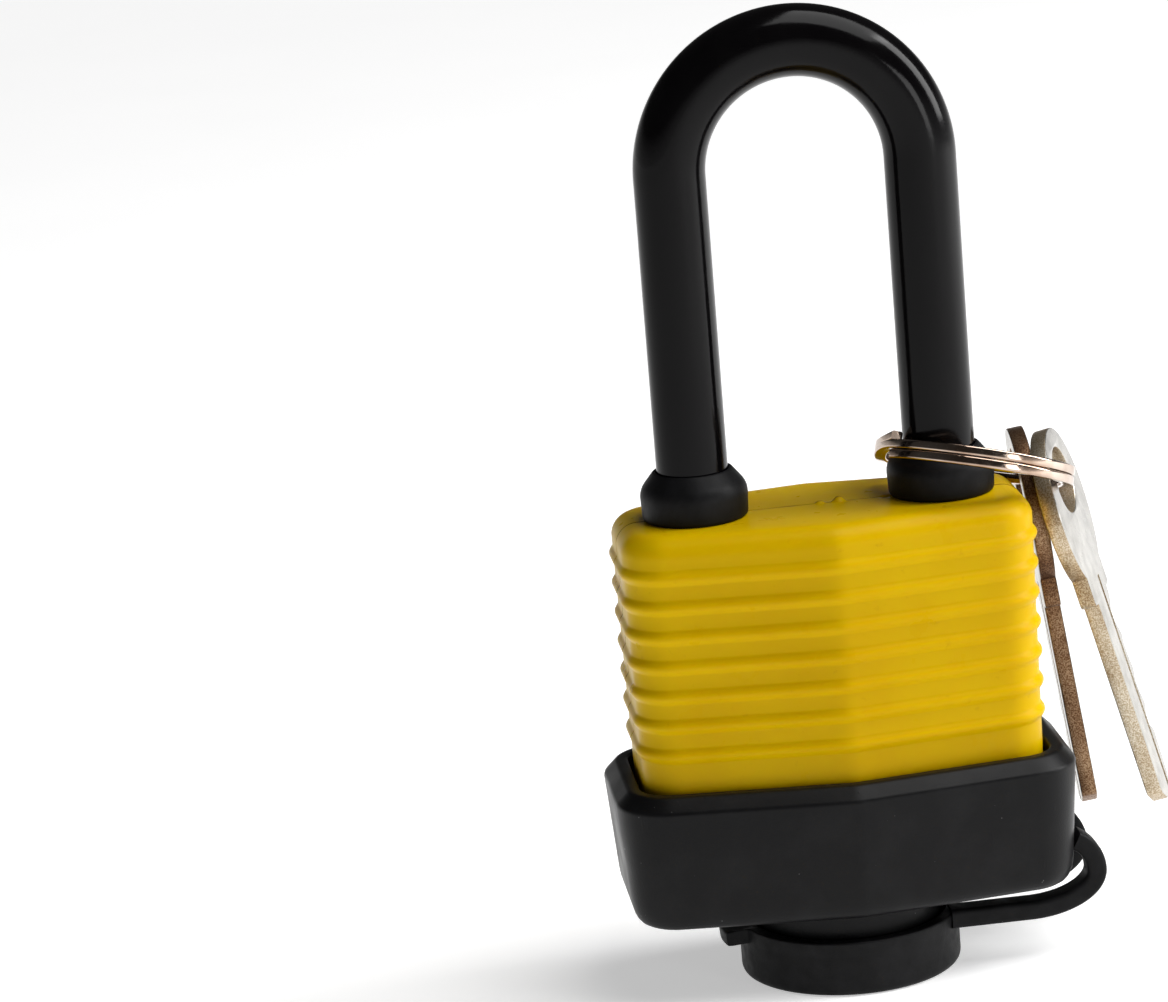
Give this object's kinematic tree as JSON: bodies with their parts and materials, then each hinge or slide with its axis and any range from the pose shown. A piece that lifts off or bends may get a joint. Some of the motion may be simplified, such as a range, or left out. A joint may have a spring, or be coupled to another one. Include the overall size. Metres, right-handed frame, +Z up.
{
  "type": "laminated padlock",
  "caption": "Long-shackle laminated padlock in a ribbed two-shell jacket, with a bottom cover, keyhole cap and keys on a ring.",
  "frame": {"origin": "centre of the keyhole cap's flat bottom face, which the padlock stands on", "axes": "+Z up along the shackle legs, -Y out of the jacket's front face, +X towards the heel leg, the key ring and the cap's strap"},
  "size_m": [0.0636, 0.033, 0.1071],
  "materials": {
    "yellow_jacket": "satin moulded",
    "black_cover": "satin moulded",
    "black_rubber": "matte",
    "black_vinyl": "glossy",
    "plated_steel": "bright nickel plate",
    "zinc_steel": "zinc plated stamping",
    "brass": "machined",
    "spring_steel": "drawn wire"
  },
  "bodies": {
    "lock_body": {"shell_front": "yellow_jacket", "shell_rear": "yellow_jacket", "base_cover": "black_cover", "collar_left": "black_rubber", "collar_right": "black_rubber", "bottom_plate": "zinc_steel", "lower_plates": "zinc_steel", "cylinder_plates": "zinc_steel", "tail_plates": "zinc_steel", "toe_plates": "zinc_steel", "latch_plates": "zinc_steel", "pin_plates": "zinc_steel", "top_plate": "zinc_steel", "rivets": "zinc_steel", "heel_pin": "zinc_steel", "shackle_spring": "spring_steel", "dog_spring": "spring_steel", "cylinder_housing": "brass", "pin_cover": "brass", "driver_pins": "brass", "pin_springs": "spring_steel"},
    "shackle": {"shackle": "plated_steel", "shackle_sleeve": "black_vinyl"},
    "plug": {"plug": "brass", "key_pins": "brass", "plug_clip": "zinc_steel", "plug_tail": "zinc_steel"},
    "dog_right": {"locking_dog_right": "zinc_steel"},
    "dog_left": {"locking_dog_left": "zinc_steel"},
    "keyhole_cap": {"keyhole_cap": "black_rubber", "cap_strap": "black_rubber"},
    "key_ring": {"key_ring": "plated_steel"},
    "key_a": {"key_a": "plated_steel"},
    "key_b": {"key_b": "plated_steel"}
  },
  "joints": [
    {"name": "shackle_lift", "type": "slide", "parent": "lock_body", "child": "shackle", "axis": [0, 0, 1], "range_m": [0, 0.017], "deforming": ["shackle_spring"]},
    {"name": "plug_turn", "type": "hinge", "parent": "lock_body", "child": "plug", "pos_m": [0, 0, 0.0114], "axis": [0, 0, 1], "range_deg": [-90, 0]},
    {"name": "dog_right_slide", "type": "slide", "parent": "lock_body", "child": "dog_right", "axis": [-1, 0, 0], "range_m": [-0.0024, 0], "deforming": ["dog_spring"]},
    {"name": "dog_left_slide", "type": "slide", "parent": "lock_body", "child": "dog_left", "axis": [1, 0, 0], "range_m": [-0.0024, 0]},
    {"name": "cap_swing", "type": "hinge", "parent": "lock_body", "child": "keyhole_cap", "pos_m": [0.026, 0, 0.0048], "axis": [0, -1, 0], "range_deg": [0, 150], "deforming": ["cap_strap"]},
    {"name": "ring_swing", "type": "hinge", "parent": "lock_body", "child": "key_ring", "pos_m": [0.00695, 0.0015, 0.05757], "axis": [0.0636, -0.9675, 0.2447], "range_deg": [0, 45]},
    {"name": "key_a_swing", "type": "hinge", "parent": "key_ring", "child": "key_a", "pos_m": [0.0272, 0.00523, 0.0513], "axis": [-0.3256, -0.9455, 0], "range_deg": [0, 12]},
    {"name": "key_b_swing", "type": "hinge", "parent": "key_ring", "child": "key_b", "pos_m": [0.0245, 0.00915, 0.05094], "axis": [-0.0872, -0.9962, 0], "range_deg": [0, 12]}
  ],
  "couplings": [
    {"joint": "dog_right_slide", "follows": "plug_turn", "m_per_rad": 0.0014405},
    {"joint": "dog_left_slide", "follows": "plug_turn", "m_per_rad": 0.0014405},
    {"joint": "key_b_swing", "follows": "key_a_swing", "ratio": 1}
  ]
}
